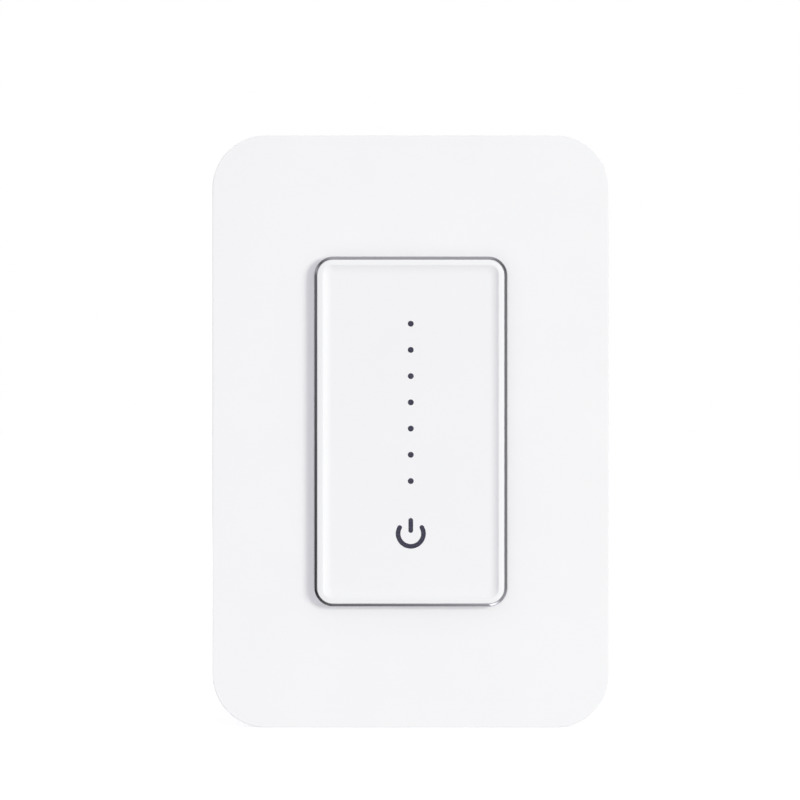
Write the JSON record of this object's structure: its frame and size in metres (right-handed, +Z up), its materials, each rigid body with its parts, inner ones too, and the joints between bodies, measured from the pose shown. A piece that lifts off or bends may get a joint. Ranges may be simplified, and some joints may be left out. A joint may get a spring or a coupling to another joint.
{
  "type": "smart dimmer switch",
  "caption": "Wall dimmer switch: screwless face plate round a dished touch panel with a chrome edge, level windows and a power symbol, on a strap with a rear housing.",
  "frame": {"origin": "middle of the mounting strap, in the plane of the wall that the face plate's rim meets", "axes": "+Z up, +X to the right as seen from the room, +Y into the wall, so the panel faces -Y"},
  "size_m": [0.0808, 0.0393, 0.1206],
  "materials": {
    "white_satin": "white satin, moulded",
    "white_gloss": "white, smooth",
    "white_frame": "white matte, moulded",
    "chrome": "polished",
    "smoked_lens": "smoked, smooth",
    "strap_metal": "zinc-plated sheet",
    "zinc": "zinc-plated",
    "brass": "brass, satin",
    "green_metal": "green dyed",
    "housing_black": "black, fine texture",
    "board_green": "green solder mask",
    "component_black": "black",
    "component_grey": "pale grey",
    "component_yellow": "yellow",
    "component_blue": "blue, dipped",
    "pad_grey": "soft, matte",
    "copper": "copper",
    "fibre": "pressed fibre"
  },
  "bodies": {
    "switch_body": {"bezel_ring": "chrome", "board_header": "component_black", "box_screw_bottom": "zinc", "box_screw_top": "zinc", "bulk_capacitor": "component_black", "carrier_screw_bottom": "zinc", "carrier_screw_top": "zinc", "control_board": "board_green", "device_screw": "zinc", "film_capacitor": "component_yellow", "front_tray": "white_frame", "fuse": "component_grey", "housing_screw_1": "zinc", "housing_screw_2": "zinc", "housing_screw_3": "zinc", "housing_screw_4": "zinc", "insulating_pad": "pad_grey", "level_led_1": "component_grey", "level_led_2": "component_grey", "level_led_3": "component_grey", "level_led_4": "component_grey", "level_led_5": "component_grey", "level_led_6": "component_grey", "level_led_7": "component_grey", "light_guide": "smoked_lens", "line_lug": "brass", "load_lug": "brass", "mounting_strap": "strap_metal", "neutral_lug": "zinc", "noise_choke": "component_yellow", "plate_carrier": "white_frame", "power_board": "board_green", "power_device": "component_black", "power_led": "component_grey", "radio_module": "board_green", "radio_shield": "strap_metal", "rear_housing": "housing_black", "screw_retainer_bottom": "fibre", "screw_retainer_top": "fibre", "supply_transformer": "component_black", "surge_varistor": "component_blue", "touch_panel": "white_gloss", "touch_sensor": "copper", "touch_spring_left": "copper", "touch_spring_right": "copper"},
    "face_plate": {"wall_plate": "white_satin"},
    "line_clamp": {"line_clamp_plate": "brass"},
    "line_screw": {"line_terminal_screw": "brass"},
    "load_clamp": {"load_clamp_plate": "brass"},
    "load_screw": {"load_terminal_screw": "brass"},
    "neutral_clamp": {"neutral_clamp_plate": "zinc"},
    "neutral_screw": {"neutral_terminal_screw": "zinc"},
    "ground_clamp": {"ground_clamp_plate": "green_metal"},
    "ground_screw": {"ground_terminal_screw": "green_metal"}
  },
  "joints": [
    {"name": "face_plate_pull", "type": "slide", "parent": "switch_body", "child": "face_plate", "axis": [0, -1, 0], "range_m": [0, 0.025]},
    {"name": "line_clamp_slide", "type": "slide", "parent": "switch_body", "child": "line_clamp", "axis": [1, 0, 0], "range_m": [0, 0.00238]},
    {"name": "line_screw_turn", "type": "hinge", "parent": "line_clamp", "child": "line_screw", "pos_m": [0.0185, 0.022, 0.014], "axis": [1, 0, 0], "range_deg": [0, 1080]},
    {"name": "load_clamp_slide", "type": "slide", "parent": "switch_body", "child": "load_clamp", "axis": [1, 0, 0], "range_m": [0, 0.00238]},
    {"name": "load_screw_turn", "type": "hinge", "parent": "load_clamp", "child": "load_screw", "pos_m": [0.0185, 0.022, -0.014], "axis": [1, 0, 0], "range_deg": [0, 1080]},
    {"name": "neutral_clamp_slide", "type": "slide", "parent": "switch_body", "child": "neutral_clamp", "axis": [-1, 0, 0], "range_m": [0, 0.00238]},
    {"name": "neutral_screw_turn", "type": "hinge", "parent": "neutral_clamp", "child": "neutral_screw", "pos_m": [-0.0185, 0.022, 0.014], "axis": [-1, 0, 0], "range_deg": [0, 1080]},
    {"name": "ground_clamp_slide", "type": "slide", "parent": "switch_body", "child": "ground_clamp", "axis": [-1, 0, 0], "range_m": [0, 0.00238]},
    {"name": "ground_screw_turn", "type": "hinge", "parent": "ground_clamp", "child": "ground_screw", "pos_m": [-0.0136, 0.0061, -0.0404], "axis": [-1, 0, 0], "range_deg": [0, 1080]}
  ],
  "couplings": [
    {"joint": "line_screw_turn", "follows": "line_clamp_slide", "rad_per_m": 7915.8},
    {"joint": "load_screw_turn", "follows": "load_clamp_slide", "rad_per_m": 7915.8},
    {"joint": "neutral_screw_turn", "follows": "neutral_clamp_slide", "rad_per_m": 7915.8},
    {"joint": "ground_screw_turn", "follows": "ground_clamp_slide", "rad_per_m": 7915.8}
  ]
}
